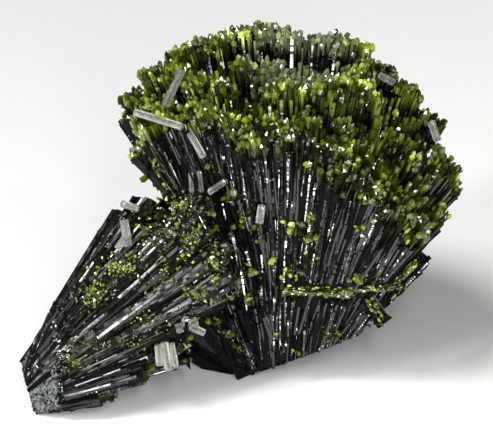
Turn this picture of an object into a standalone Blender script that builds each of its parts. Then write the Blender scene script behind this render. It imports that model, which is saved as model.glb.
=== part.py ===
"""Epidote crystal cluster with small quartz crystals.

A broad main fan of epidote needles with knobby tips stands on its cut root. A side fan leans out to the left,
its broken butt just clear of the ground. A few stray epidote blades grow across the fans, and small quartz
crystals sit in them.

The fans are laid out in a leaning frame, in millimetres: across to the right, up along the main fan, out to
the front. That frame leans back from upright by LEAN. The part's own frame is in metres, +Z up, with its
origin in the middle of the flat cut that the cluster rests on.
"""

import math
import random

import bmesh
import bpy
from mathutils import Matrix, Vector

LEAN = 20.0
SEAT = (1.5, -13.5, -1.97)
METRE = 0.001
TO_PART = (
    Matrix.Translation(Vector(SEAT) * METRE)
    @ Matrix.Rotation(math.radians(90.0 - LEAN), 4, "X")
    @ Matrix.Scale(METRE, 4)
)

# Sheaves of the main fan: lean to the right and to the front in degrees, reach from the fan's foot, and how
# far up the fan the sheaf starts, both in mm.
FRONT_SHEAVES = (
    (-25, 12, 54.0, 14),
    (-23, 20, 57.0, 10),
    (-15, 24, 57.5, 6),
    (-7, 29, 52.5, 2),
    (2, 30, 53.5, 0),
    (12, 33, 51.0, 0),
    (22, 37, 48.0, 2),
    (30, 36, 46.0, 4),
    (33, 28, 46.0, 6),
)
MIDDLE_SHEAVES = (
    (-12, 17, 60.5, 4),
    (-1, 19, 57.5, 0),
    (11, 20, 58.0, 0),
    (21, 24, 49.0, 2),
    (29, 22, 51.5, 4),
    (33, 15, 48.5, 6),
)
CREST_SHEAVES = (
    (-22, 7, 61.5, 8),
    (-14, 7, 64.0, 4),
    (-5, 8, 65.5, 0),
    (6, 8, 63.5, 0),
    (16, 9, 60.5, 0),
    (25, 9, 56.5, 2),
    (34, 6, 49.0, 6),
)
BACK_SHEAVES = (
    (-22, -6, 56.0, 8),
    (-14, -6, 60.0, 4),
    (-4, -6, 61.5, 0),
    (7, -6, 60.5, 0),
    (18, -6, 56.0, 0),
    (29, -7, 49.0, 4),
    (-21, -19, 51.0, 4),
    (-10, -21, 55.0, 0),
    (6, -21, 54.0, 0),
    (21, -20, 49.0, 2),
)
MAIN_SHEAVES = FRONT_SHEAVES + MIDDLE_SHEAVES + CREST_SHEAVES + BACK_SHEAVES
MAIN_STEP = 6.4
MAIN_SPREAD = 7.4
MAIN_CORE = 0.93
FOOT_CORNERS = (
    (-8.6, 0.5, 3.0),
    (-10.0, 6.0, -20.0),
    (10.0, 7.0, -22.0),
    (10.0, 6.0, -12.0),
    (0.0, 1.0, -5.0),
)
FOOT_SHARE = 0.2
FOOT_DEPTH_PER_DEGREE = 0.45
FOOT_FRONT = 30.0
FOOT_BELOW_CUT = 2.5

# Fans of short crystals low on the main fan: the root, the first and last tip in mm, and how many.
LOW_FANS = (
    ((-3.0, 0.5, 1.0), (-13.0, 15.0, 10.0), (10.0, 17.0, 15.0), 7),
    ((-3.0, 15.0, 4.0), (-28.5, 44.0, 12.0), (-21.0, 46.5, 19.0), 3),
    ((-6.0, 0.0, 0.0), (-18.0, 6.0, -3.0), (-19.0, 24.0, 2.0), 5),
    ((-5.0, 2.0, -14.0), (-17.0, 12.0, -14.0), (-20.0, 27.0, -14.0), 3),
    ((2.0, 1.0, -1.0), (10.0, 9.5, 3.0), (23.0, 24.0, 15.0), 5),
    ((4.0, 2.0, -14.0), (15.0, 13.0, -14.0), (21.0, 26.0, -12.0), 3),
)
LOW_WIDTH = 4.6
LOW_PLAY = 0.8
SHORT_TAPER = 2 / 3

# Sheaves of the side fan, measured from the point that its laths run back to: turn from upright towards
# the right, lean to the front in degrees, and reach in mm.
SIDE_APEX = Vector((-51.8, -4.9, 19.0))
SIDE_SHEAVES = (
    (40, 1, 46.0),
    (47, 2, 55.0),
    (54, 2, 53.5),
    (61, 2, 50.5),
    (67, 1, 40.0),
    (73, 0, 30.0),
    (79, 1, 24.0),
    (41, -9, 50.0),
    (50, -11, 54.0),
    (60, -10, 50.0),
    (69, -9, 38.0),
)
BUTT_CORNERS = (
    (-44.0, -4.1, 17.2),
    (-37.0, -3.2, 18.5),
)
SIDE_START = 2.0
SIDE_STEP = 4.8
SIDE_SPREAD = 5.6
SIDE_CORE = 0.84
SIDE_DEPTH_PER_DEGREE = 0.2

# A crystal inside a fan starts this share of the way up it, one at its edge starts lower.
INNER_START = 0.7
EDGE_START = 0.3
EDGE_FALL = 0.05
FILL = 0.47
CELL_NEIGHBOURS = ((1, 0), (-1, 0), (0, 1), (0, -1), (1, -1), (-1, 1))
CELL_RANGE = range(-16, 17)
# How far a crystal may stray: in steps of the lattice, in mm of its reach, and as shares of its width.
LEAN_PLAY = 0.12
REACH_PLAY = (-1.2, 0.8)
WIDTH_PLAY = (0.97, 1.08)

# Stray epidote crystals across the front: both ends and the thickness in mm.
BLADES = (
    ((-1.0, 16.8, 15.0), (11.0, 16.4, 17.8), 1.5),
    ((10.0, 16.8, 19.0), (19.5, 17.8, 16.5), 1.0),
    ((9.5, 17.5, 18.0), (14.0, 18.5, 18.5), 4.0),
    ((17.0, 17.0, 14.5), (21.5, 21.8, 17.0), 1.2),
    ((12.0, 17.5, 16.0), (16.3, 11.0, 13.0), 2.4),
    ((5.0, 6.5, 3.0), (9.5, 8.0, 5.5), 3.6),
)

# Places on the front face where a shorter crystal ends in a green lump: across, up and out in mm.
FRONT_STUBS = (
    (-9.0, 32.5, 22.0),
    (-7.7, 28.0, 20.0),
    (0.7, 27.0, 19.6),
    (3.8, 25.8, 20.4),
    (10.5, 27.0, 23.0),
)
STUB_LENGTH = 12.0
STUB_WIDTH = 2.2

# Quartz crystals, each from its root to its pointed end, with its thickness, in mm. Those of one name are
# joined.
QUARTZ = {
    "quartz_rod_top_left": [((-17.9, 53.6, 15.4), (-20.9, 47.0, 17.8), 1.5)],
    "quartz_rod_outer_left": [((-25.5, 46.4, 20.4), (-17.2, 43.7, 25.7), 1.4)],
    "quartz_rod_inner_left": [((-16.3, 42.7, 26.6), (-13.9, 38.6, 24.6), 1.4)],
    "quartz_upright_left": [((-16.1, 33.2, 22.4), (-16.3, 36.6, 21.2), 0.9)],
    "quartz_upright_right": [((-14.5, 33.4, 18.8), (-14.9, 36.8, 21.6), 0.9)],
    "quartz_grey_stub": [((-13.2, 33.2, 19.6), (-10.2, 35.2, 22.4), 1.2)],
    "quartz_front": [((-4.9, 28.3, 21.4), (-4.5, 31.3, 23.4), 1.5)],
    "quartz_trio": [
        ((-20.6, 8.4, 22.8), (-19.8, 3.1, 21.8), 1.5),
        ((-21.6, 8.0, 22.6), (-21.3, 4.0, 21.8), 1.5),
        ((-19.4, 8.2, 22.6), (-18.6, 3.7, 21.4), 1.2),
    ],
    "quartz_tuft": [
        ((-18.6, 10.6, 22.4), (-14.6, 11.9, 21.0), 1.9),
        ((-16.2, 10.8, 21.6), (-13.6, 9.7, 20.6), 1.4),
        ((-16.6, 11.0, 22.0), (-17.3, 12.6, 23.9), 1.4),
    ],
    "quartz_top_right": [((15.6, 53.0, 11.2), (18.1, 51.6, 13.3), 1.5)],
    "quartz_far_right": [((24.2, 45.2, 11.3), (25.6, 41.6, 9.8), 1.5)],
    "quartz_side_upper": [
        ((-27.2, 28.6, 23.6), (-26.4, 23.6, 23.8), 1.7),
        ((-26.8, 26.0, 23.7), (-28.6, 23.4, 23.4), 1.4),
    ],
    "quartz_side_edge": [((-27.7, 31.3, 19.6), (-24.6, 30.3, 21.0), 1.4)],
}
CLEARANCE = 0.3

# Cutting planes, each as a point and the normal of the side that is cut away, in mm.
BREAK_POINT = Vector((-8.2, 1.0, 0.0))
BREAK_NORMAL = Vector((0.358, -0.934, 0.0))
BUTT_POINT = Vector((-42.6, -4.1, 17.0))
BUTT_FACE_NORMAL = Vector((-0.6, -0.065, 0.797))
BUTT_BACK_NORMAL = Vector((-0.9, -0.27, -0.34))
CUTTER_SIZE = 120.0

# The epidote's blunt end: its height and the step in to its chisel edge, as shares of the crystal's radius,
# and that edge's thickness as a share of its length.
EPIDOTE_SIDES = 5
CHISEL_HEIGHT = 0.8
CHISEL_INSET = 0.3
CHISEL_THICKNESS = 0.55

# The quartz's pyramid, as a share of the crystal's thickness.
QUARTZ_SIDES = 6
PYRAMID_HEIGHT = 0.4
SEED = 8


def clear_scene():
    for item in list(bpy.data.objects):
        bpy.data.objects.remove(item)


def new_collection(name):
    made = bpy.data.collections.new(name)
    bpy.context.scene.collection.children.link(made)
    return made


def new_material(name, colour, roughness, transmission):
    made = bpy.data.materials.new(name)
    made.use_nodes = True
    shader = made.node_tree.nodes["Principled BSDF"]
    shader.inputs["Base Color"].default_value = (*colour, 1.0)
    shader.inputs["Roughness"].default_value = roughness
    shader.inputs["Metallic"].default_value = 0.0
    shader.inputs["Transmission Weight"].default_value = transmission
    made.diffuse_color = (*colour, 1.0)
    return made


def add_object(name, bm, collection, helper):
    mesh = bpy.data.meshes.new(name)
    bm.to_mesh(mesh)
    bm.free()
    made = bpy.data.objects.new(name, mesh)
    collection.objects.link(made)
    if helper:
        made.hide_render = True
        made.display_type = "WIRE"
    return made


def lean(right, front):
    """The direction that leans by these angles, in degrees, from straight up the main fan."""
    across, out = math.radians(right), math.radians(front)
    return Vector((math.sin(across) * math.cos(out), math.cos(across) * math.cos(out), math.sin(out)))


def prism(start, end, foot, tip, sides, spin):
    """A tapered prism from start to end, in mm, in the leaning frame. Returns it with its end face."""
    bm = bmesh.new()
    along = end - start
    bmesh.ops.create_cone(
        bm, cap_ends=True, cap_tris=False, segments=sides, radius1=foot, radius2=tip, depth=along.length
    )
    top = max(bm.faces, key=lambda face: face.calc_center_median().z)
    turn = along.to_track_quat("Z", "Y").to_matrix().to_4x4() @ Matrix.Rotation(spin, 4, "Z")
    bm.transform(Matrix.Translation((start + end) / 2) @ turn)
    return bm, top


def epidote_crystal(start, end, foot, tip, spin):
    """A flat-sided crystal that widens from its foot and ends in a blunt chisel edge."""
    height = tip * CHISEL_HEIGHT
    shoulder = end - (end - start).normalized() * height
    bm, top = prism(start, shoulder, foot, tip, EPIDOTE_SIDES, spin)
    bmesh.ops.inset_individual(bm, faces=[top], thickness=tip * CHISEL_INSET, depth=height)
    middle = top.calc_center_median()
    ridge = (top.verts[0].co - middle).normalized()
    for vert in top.verts:
        away = vert.co - middle
        vert.co = middle + away * CHISEL_THICKNESS + ridge * away.dot(ridge) * (1.0 - CHISEL_THICKNESS)
    return bm


def reach_at(sheaves, spread, right, front):
    """The reach and rise of the nearest sheaf, the reach falling towards its edge, or None outside the fan."""
    def apart(sheaf):
        return math.hypot((right - sheaf[0]) * math.cos(math.radians(front)), front - sheaf[1])

    nearest = min(sheaves, key=apart)
    share = apart(nearest) / spread
    if share > 1.0:
        return None
    rise = nearest[3] if len(nearest) > 3 else 0.0
    return nearest[2] * (1.0 - EDGE_FALL * share * share), rise


def fan_cells(sheaves, step, spread):
    """The fan's crystals on a hexagonal lattice of angles: cell to right, front, reach and rise."""
    cells = {}
    for row in CELL_RANGE:
        front = row * step * math.sqrt(0.75)
        for column in CELL_RANGE:
            right = (column + row / 2) * step / math.cos(math.radians(front))
            found = reach_at(sheaves, spread, right, front)
            if found:
                cells[column, row] = (right, front, *found)
    return cells


def add_core(name, points, growth):
    bm = bmesh.new()
    for point in points:
        bm.verts.new(point)
    hull = bmesh.ops.convex_hull(bm, input=bm.verts)
    inside = hull["geom_interior"] + hull["geom_unused"]
    loose = {item for item in inside if isinstance(item, bmesh.types.BMVert)}
    bmesh.ops.delete(bm, geom=list(loose), context="VERTS")
    bm.transform(TO_PART)
    add_object(f"{name}_core", bm, growth, True)


def grow_fan(name, apex, sheaves, step, spread, core_share, root_of, corners, rng, growth):
    """Crystals side by side over the whole fan, round a closed core that takes in these corners.

    The core reaches this share of the way from the crystals' roots to their tips.
    """
    cells = fan_cells(sheaves, step, spread)
    core = list(corners)
    width = math.radians(step) * FILL
    for (column, row), (right, front, reach, rise) in cells.items():
        right += rng.uniform(-LEAN_PLAY, LEAN_PLAY) * step
        front += rng.uniform(-LEAN_PLAY, LEAN_PLAY) * step
        reach += rng.uniform(*REACH_PLAY)
        tip = apex + lean(right, front) * reach
        root = root_of(right, front, reach, rise)
        inside = all((column + i, row + j) in cells for i, j in CELL_NEIGHBOURS)
        start = root.lerp(tip, INNER_START if inside else EDGE_START)
        broad = width * reach * rng.uniform(*WIDTH_PLAY)
        narrow = broad * (start - apex).length / reach
        bm = epidote_crystal(start, tip, narrow, broad, rng.uniform(0.0, math.pi))
        bm.transform(TO_PART)
        add_object(f"{name}_{column}_{row}", bm, growth, True)
        core += [root, root.lerp(tip, core_share)]
    add_core(name, core, growth)


def main_root(right, front, reach, rise):
    """Where a crystal of the main fan starts: the further back it leans, the further back its foot."""
    out = min(1.0, (front - FOOT_FRONT) * FOOT_DEPTH_PER_DEGREE)
    level = (-SEAT[2] - out * math.sin(math.radians(LEAN))) / math.cos(math.radians(LEAN))
    across = (lean(right, front) * reach).x * FOOT_SHARE
    return Vector((across, level - FOOT_BELOW_CUT + rise, out))


def side_root(right, front, reach, rise):
    """Where a lath of the side fan starts: its butt is as deep as it is broad."""
    depth = Vector((0.0, 0.0, front * SIDE_DEPTH_PER_DEGREE))
    return SIDE_APEX + lean(right, front) * (SIDE_START + rise) + depth


def grow_short(name, start, end, width, taper, rng, growth):
    """One crystal on its own, whose foot is this share of its width."""
    bm = epidote_crystal(start, end, width / 2 * taper, width / 2, rng.uniform(0.0, math.pi))
    bm.transform(TO_PART)
    add_object(name, bm, growth, True)


def grow_low_fans(rng, growth):
    for number, (root, first, last, count) in enumerate(LOW_FANS):
        for step in range(count):
            end = Vector(first).lerp(Vector(last), step / (count - 1))
            end += Vector([rng.uniform(-LOW_PLAY, LOW_PLAY) for _ in range(3)])
            grow_short(f"low_{number}_{step}", Vector(root), end, LOW_WIDTH, SHORT_TAPER, rng, growth)


def grow_strays(rng, growth):
    for number, (start, end, thickness) in enumerate(BLADES):
        grow_short(f"blade_{number}", Vector(start), Vector(end), thickness, 1.0, rng, growth)
    for number, place in enumerate(FRONT_STUBS):
        end = Vector(place)
        start = end - end.normalized() * STUB_LENGTH
        grow_short(f"stub_{number}", start, end, STUB_WIDTH, SHORT_TAPER, rng, growth)


def quartz_crystal(start, end, thickness, grown):
    """A six-sided prism with a pyramid at its free end. Grown widens it all round, for its pocket."""
    along = (end - start).normalized()
    radius = thickness / 2 + grown
    height = thickness * PYRAMID_HEIGHT
    bm, top = prism(start - along * grown, end - along * height, radius, radius, QUARTZ_SIDES, 0.0)
    bmesh.ops.poke(bm, faces=[top], offset=height + grown)
    return bm


def half_space(point, normal):
    """A box whose face lies on the plane through point, and which fills the side that normal points to."""
    bm = bmesh.new()
    bmesh.ops.create_cube(bm, size=CUTTER_SIZE)
    turn = normal.to_track_quat("Z", "Y").to_matrix().to_4x4()
    middle = point + normal.normalized() * CUTTER_SIZE / 2
    bm.transform(Matrix.Translation(middle) @ turn)
    return bm


def add_boolean(target, operation, collection):
    """So many crystals cross here that EXACT leaves edges with three faces, and MANIFOLD doesn't."""
    modifier = target.modifiers.new(operation.lower(), "BOOLEAN")
    modifier.operation = operation
    modifier.operand_type = "COLLECTION"
    modifier.collection = collection
    modifier.solver = "MANIFOLD"


def islands(bm):
    """The mesh's separate bodies, each as a list of faces."""
    left = set(bm.faces)
    found = []
    while left:
        body = {left.pop()}
        edge_of_body = list(body)
        while edge_of_body:
            face = edge_of_body.pop()
            for edge in face.edges:
                for other in edge.link_faces:
                    if other in left:
                        left.remove(other)
                        body.add(other)
                        edge_of_body.append(other)
        found.append(list(body))
    return found


def settle(name, source, collection):
    """The evaluated source as a plain mesh, without the chips that a cut has left loose."""
    graph = bpy.context.evaluated_depsgraph_get()
    mesh = bpy.data.meshes.new_from_object(source.evaluated_get(graph))
    bm = bmesh.new()
    bm.from_mesh(mesh)
    bodies = sorted(islands(bm), key=len)
    for chip in bodies[:-1]:
        bmesh.ops.delete(bm, geom=chip, context="FACES")
    bpy.data.meshes.remove(mesh)
    return add_object(name, bm, collection, False)


def move_out(collection):
    """Takes the first object out of the collection, for the others to be joined to it."""
    first = collection.objects[0]
    collection.objects.unlink(first)
    bpy.context.scene.collection.objects.link(first)
    return first


def remove_helpers(collection):
    for item in list(collection.objects):
        bpy.data.objects.remove(item)
    bpy.data.collections.remove(collection)


def make_quartz(cluster, cutters, material):
    for name, crystals in QUARTZ.items():
        parts = new_collection(f"{name}_crystals")
        for number, (start, end, thickness) in enumerate(crystals):
            for grown, owner in ((0.0, parts), (CLEARANCE, cutters)):
                bm = quartz_crystal(Vector(start), Vector(end), thickness, grown)
                bm.transform(TO_PART)
                add_object(f"{name}_{number}", bm, owner, True)
        first = move_out(parts)
        if parts.objects:
            add_boolean(first, "UNION", parts)
        made = settle(name, first, cluster)
        made.data.materials.append(material)
        bpy.data.objects.remove(first)
        remove_helpers(parts)


def make_epidote(cluster, cutters, material):
    rng = random.Random(SEED)
    growth = new_collection("growth")
    origin = Vector((0.0, 0.0, 0.0))
    main_fan = (MAIN_SHEAVES, MAIN_STEP, MAIN_SPREAD, MAIN_CORE)
    side_fan = (SIDE_SHEAVES, SIDE_STEP, SIDE_SPREAD, SIDE_CORE)
    grow_fan("main", origin, *main_fan, main_root, FOOT_CORNERS, rng, growth)
    grow_fan("side", SIDE_APEX, *side_fan, side_root, BUTT_CORNERS, rng, growth)
    grow_low_fans(rng, growth)
    grow_strays(rng, growth)
    floor = half_space(Vector((0.0, 0.0, 0.0)), Vector((0.0, 0.0, -1.0)))
    floor.transform(Matrix.Scale(METRE, 4))
    add_object("floor_cut", floor, cutters, True)
    for name, point, normal in (
        ("break_cut", BREAK_POINT, BREAK_NORMAL),
        ("butt_face_cut", BUTT_POINT, BUTT_FACE_NORMAL),
        ("butt_back_cut", BUTT_POINT, BUTT_BACK_NORMAL),
    ):
        bm = half_space(point, normal)
        bm.transform(TO_PART)
        add_object(name, bm, cutters, True)
    first = move_out(growth)
    add_boolean(first, "UNION", growth)
    add_boolean(first, "DIFFERENCE", cutters)
    made = settle("epidote_cluster", first, cluster)
    made.data.materials.append(material)
    bpy.data.objects.remove(first)
    remove_helpers(growth)


def main():
    clear_scene()
    cluster = new_collection("epidote_crystal_cluster")
    cutters = new_collection("cutters")
    epidote = new_material("dark_green_epidote", (0.035, 0.06, 0.01), 0.25, 0.0)
    quartz = new_material("frosted_quartz", (0.7, 0.73, 0.68), 0.2, 0.8)
    make_quartz(cluster, cutters, quartz)
    make_epidote(cluster, cutters, epidote)


main()
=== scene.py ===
"""Looks of the epidote crystal cluster.

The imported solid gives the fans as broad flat-sided crystals. Here the fans become single fine needles with
green lumps at their tips, standing on a dark body of the solid's own shape, whose open sides are covered with
needles too. The quartz crystals keep their solids and get their frosted finish.

Shapes are laid out in the same leaning frame as the solids, in millimetres: across to the right, up along the
main fan, out to the front.
"""

import math
import random

import bmesh
import bpy
import numpy as np
from mathutils import Matrix, Vector, noise
from mathutils.bvhtree import BVHTree


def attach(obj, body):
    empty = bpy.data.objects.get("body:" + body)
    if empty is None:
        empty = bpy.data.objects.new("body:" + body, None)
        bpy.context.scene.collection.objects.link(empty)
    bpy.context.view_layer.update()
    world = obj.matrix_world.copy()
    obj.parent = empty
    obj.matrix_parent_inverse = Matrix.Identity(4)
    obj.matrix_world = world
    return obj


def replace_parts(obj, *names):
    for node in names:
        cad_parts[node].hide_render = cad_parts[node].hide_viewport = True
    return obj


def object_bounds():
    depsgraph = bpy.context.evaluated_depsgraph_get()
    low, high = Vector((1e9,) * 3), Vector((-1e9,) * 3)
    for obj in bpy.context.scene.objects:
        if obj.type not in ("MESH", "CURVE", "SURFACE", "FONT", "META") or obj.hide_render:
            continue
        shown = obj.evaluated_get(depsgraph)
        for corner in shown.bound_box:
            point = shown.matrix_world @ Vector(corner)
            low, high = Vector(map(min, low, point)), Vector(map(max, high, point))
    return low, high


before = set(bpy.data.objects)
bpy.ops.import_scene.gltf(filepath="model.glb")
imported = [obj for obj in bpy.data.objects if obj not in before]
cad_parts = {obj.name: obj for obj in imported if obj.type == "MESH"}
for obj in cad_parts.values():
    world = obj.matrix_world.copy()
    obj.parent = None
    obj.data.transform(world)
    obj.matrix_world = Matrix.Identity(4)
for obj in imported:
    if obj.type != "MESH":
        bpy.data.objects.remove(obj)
CAD_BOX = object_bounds()

LEAN = 20.0
SEAT = (1.5, -13.5, -1.97)
METRE = 0.001
TO_PART = (
    Matrix.Translation(Vector(SEAT) * METRE)
    @ Matrix.Rotation(math.radians(90.0 - LEAN), 4, "X")
    @ Matrix.Scale(METRE, 4)
)
FROM_PART = TO_PART.inverted()

# Sheaves of the main fan: lean to the right and to the front in degrees, reach from the fan's foot and how
# far their root is raised, in mm.
MAIN_SHEAVES = (
    (-25, 12, 54.0, 14), (-23, 20, 57.0, 10), (-15, 24, 57.5, 6), (-7, 29, 52.5, 2), (2, 30, 53.5, 0),
    (12, 33, 51.0, 0), (22, 37, 48.0, 2), (30, 36, 46.0, 4), (33, 28, 46.0, 6),
    (-12, 17, 60.5, 4), (-1, 19, 57.5, 0), (11, 20, 58.0, 0), (21, 24, 49.0, 2), (29, 22, 51.5, 4),
    (33, 15, 48.5, 6),
    (-22, 7, 61.5, 8), (-14, 7, 64.0, 4), (-5, 8, 65.5, 0), (6, 8, 63.5, 0), (16, 9, 60.5, 0),
    (25, 9, 56.5, 2), (34, 6, 49.0, 6),
    (-22, -6, 56.0, 8), (-14, -6, 60.0, 4), (-4, -6, 61.5, 0), (7, -6, 60.5, 0), (18, -6, 56.0, 0),
    (29, -7, 49.0, 4), (-21, -19, 51.0, 4), (-10, -21, 55.0, 0), (6, -21, 54.0, 0), (21, -20, 49.0, 2),
)
MAIN_APEX = Vector((0.0, 0.0, 0.0))
# How far from its sheaf's middle a needle may be, and between which turns both fans lie, in degrees.
MAIN_SPREAD = 10.5
FAN_TURN = (-35.0, 90.0)
# Needles of the main fan start below its cut, spread out a little in the way of their tips.
FOOT_SHARE = 0.2
FOOT_DEPTH_PER_DEGREE = 0.45
FOOT_FRONT = 30.0
FOOT_OUT_MOST = 1.0
FOOT_BELOW_CUT = 2.5

# Sheaves of the side fan, in the same way, from the point that its laths run back to.
SIDE_SHEAVES = (
    (40, 1, 46.0, 0), (47, 2, 55.0, 0), (54, 2, 53.5, 0), (61, 2, 50.5, 0), (67, 1, 40.0, 0),
    (73, 0, 30.0, 0), (79, 1, 24.0, 0), (41, -9, 50.0, 0), (50, -11, 54.0, 0), (60, -10, 50.0, 0),
    (69, -9, 38.0, 0),
)
SIDE_APEX = Vector((-51.8, -4.9, 19.0))
SIDE_SPREAD = 7.8
SIDE_START = 2.0
SIDE_DEPTH_PER_DEGREE = 0.2
# A sheaf reaches less far by this share at this many degrees from its middle.
EDGE_FALL = 0.03
EDGE_ANGLE = 7.0

# Fans of short crystals low on the main fan: the root, the first and last tip in mm, how many crystals, and
# what share of their needles ends in lumps.
LOW_FANS = (
    ((-3.0, 0.5, 1.0), (-13.0, 15.0, 10.0), (10.0, 17.0, 15.0), 7, 0.03),
    ((-3.0, 15.0, 4.0), (-28.5, 44.0, 12.0), (-21.0, 46.5, 19.0), 3, 0.6),
    ((-6.0, 0.0, 0.0), (-18.0, 6.0, -3.0), (-19.0, 24.0, 2.0), 5, 0.15),
    ((-5.0, 2.0, -14.0), (-17.0, 12.0, -14.0), (-20.0, 27.0, -14.0), 3, 0.3),
    ((2.0, 1.0, -1.0), (10.0, 9.5, 3.0), (23.0, 24.0, 15.0), 5, 0.35),
    ((4.0, 2.0, -14.0), (15.0, 13.0, -14.0), (21.0, 26.0, -12.0), 3, 0.5),
)
# How far apart the needle tips of one such crystal lie in mm, and how many places and needles each has.
LOW_WIDTH = 4.6
LOW_PLACES = 5
LOW_NEEDLES = 4

# Stray epidote crystals across the front: both ends and the thickness in mm, and how green they are.
BLADES = (
    ((-1.0, 16.8, 15.0), (11.0, 16.4, 17.8), 1.7, 0.925),
    ((10.0, 16.8, 19.0), (19.5, 17.8, 16.5), 1.2, 0.93),
    ((17.0, 17.0, 14.5), (21.5, 21.8, 17.0), 1.2, 0.92),
    ((12.0, 17.5, 16.0), (16.3, 11.0, 13.0), 2.4, 0.0),
)

# Green clumps on the front: across and up in mm, half its width and height, how many lumps, and their size.
CLUMPS = (
    (-9.0, 32.4, 1.9, 0.6, 10, 1.2), (-7.8, 28.4, 0.6, 1.4, 8, 1.1), (0.5, 27.0, 1.4, 1.2, 12, 1.3),
    (3.6, 25.8, 1.3, 0.9, 9, 1.3), (1.1, 20.2, 1.2, 1.8, 16, 1.0), (-5.4, 19.6, 1.1, 0.9, 8, 1.2),
    (-8.0, 17.6, 1.1, 1.0, 8, 1.2), (-6.4, 15.4, 0.5, 1.5, 7, 1.0), (-10.7, 16.2, 0.9, 0.5, 5, 1.1),
    (-9.9, 9.2, 0.8, 0.5, 4, 1.1), (-9.2, 7.6, 0.6, 0.6, 3, 1.3), (-8.2, 6.6, 0.5, 0.4, 3, 1.0),
    (-1.7, 9.2, 0.4, 0.8, 4, 0.9), (1.6, 6.1, 0.9, 0.3, 5, 0.8), (7.0, 13.8, 0.4, 0.7, 4, 0.9),
    (11.2, 26.9, 0.6, 0.9, 5, 1.2), (8.2, 32.7, 0.4, 0.3, 2, 1.1), (3.7, 28.5, 0.7, 1.2, 6, 1.0),
    (-3.0, 35.0, 0.8, 0.5, 3, 0.9), (14.0, 33.0, 0.9, 1.4, 9, 1.3), (-4.5, 24.5, 1.0, 2.0, 5, 0.8),
    (12.5, 6.5, 1.4, 0.6, 8, 0.9), (3.0, 23.0, 3.0, 3.0, 7, 0.8), (11.8, 17.8, 2.2, 1.7, 60, 0.75),
    (16.0, 17.7, 3.2, 0.8, 40, 0.55), (14.3, 13.8, 0.9, 2.4, 26, 0.55), (8.0, 9.7, 1.8, 1.2, 36, 0.7),
    (21.0, 21.4, 0.5, 0.6, 6, 0.8), (-12.0, 22.0, 1.0, 4.0, 10, 0.9),
    (-12.5, 12.0, 1.0, 2.5, 7, 0.9), (-13.5, 30.0, 1.6, 2.0, 8, 1.0), (-22.0, 37.5, 3.5, 2.5, 14, 0.9),
)

# Dark hollows in the front of the crown, where no lumps grow: across and up, half width and half height.
HOLLOWS = (
    (14.8, 42.7, 4.2, 6.4), (8.8, 50.2, 3.2, 2.1), (-3.5, 48.4, 6.4, 2.2), (-21.3, 54.9, 2.2, 2.0),
    (3.5, 55.0, 3.4, 1.4), (-12.5, 55.5, 3.0, 2.0), (18.5, 36.0, 2.2, 3.2), (20.5, 45.5, 2.0, 3.0),
    (-11.0, 49.5, 4.0, 1.6), (5.0, 44.0, 3.4, 1.6), (25.0, 36.5, 1.8, 2.6), (-17.5, 46.0, 2.4, 1.8),
)

# Where the crown's tips stand off their sheaves: first and last angle to the right in degrees, and how far
# off in mm.
CROWN_OFF = ((-40.0, -30.5, -3.2), (19.0, 30.5, -1.5), (33.0, 50.0, 0.7))

# The middle of a patch of greyer, frosted lumps on the crown: across, up and out in mm.
FROSTED = (1.2, 57.0, 13.0)

# Mossy green grains on the side fan, laid out like the clumps.
MOSS = (
    (-32.4, 16.3, 2.6, 1.9, 110, 0.6), (-21.5, 26.5, 6.5, 4.5, 260, 0.6), (-27.5, 20.5, 4.0, 3.0, 110, 0.55),
    (-15.5, 25.5, 2.2, 2.6, 70, 0.75), (-12.3, 20.8, 1.6, 4.0, 50, 0.8), (-15.0, 16.5, 1.8, 1.6, 30, 0.7),
    (-20.5, 19.0, 5.0, 2.8, 60, 0.5), (-17.5, 31.0, 2.8, 2.0, 80, 0.65), (-40.0, 6.0, 2.4, 1.8, 120, 0.45),
    (-34.0, 8.0, 4.0, 1.6, 60, 0.4), (-27.0, 8.5, 7.0, 1.6, 50, 0.4), (-24.0, 12.5, 8.0, 1.6, 45, 0.45),
    (-35.5, 5.0, 3.5, 1.6, 90, 0.5),
)

# Broad flat laths of the side fan: both ends across and up, and the width, in mm.
BROAD_LATHS = (
    ((-37.3, 6.3), (-26.0, 13.8), 1.15), ((-31.5, 9.0), (-18.5, 18.5), 0.9),
    ((-24.0, 17.2), (-20.6, 20.2), 1.0), ((-16.3, 19.8), (-12.3, 25.0), 0.9),
    ((-15.5, 15.8), (-9.8, 19.0), 0.9), ((-17.5, 14.2), (-9.9, 17.4), 0.8),
    ((-19.5, 17.0), (-14.2, 21.3), 0.8), ((-15.0, 18.2), (-10.2, 21.9), 0.9),
    ((-39.0, 11.5), (-34.0, 18.5), 0.8),
)

# Where needles of the main fan catch the light: across and up, half the width and height, and how many.
BRIGHT_NEEDLES = (
    (-3.0, 35.5, 4.5, 6.0, 26), (3.5, 33.0, 4.0, 6.0, 26), (9.5, 29.0, 4.0, 5.5, 24),
    (16.0, 24.0, 4.0, 5.0, 26), (20.5, 27.5, 4.0, 4.0, 20), (2.0, 9.5, 6.0, 5.0, 34),
    (11.0, 11.0, 4.0, 4.0, 22), (-18.5, 40.0, 4.5, 4.5, 30), (-12.5, 34.0, 3.5, 4.5, 12),
    (-6.0, 24.0, 3.0, 6.0, 12),
)

# Where narrow laths of the side fan catch the light, in the same way.
BRIGHT_LATHS = (
    (-16.5, 17.0, 5.0, 2.6, 40), (-23.0, 12.5, 6.0, 2.4, 34), (-19.0, 24.0, 4.5, 3.0, 12),
    (-33.0, 9.5, 5.0, 3.0, 30), (-38.5, 8.5, 2.5, 4.0, 22), (-30.0, 3.5, 7.0, 2.0, 30),
    (-30.0, 24.0, 4.0, 6.0, 24),
)

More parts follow.
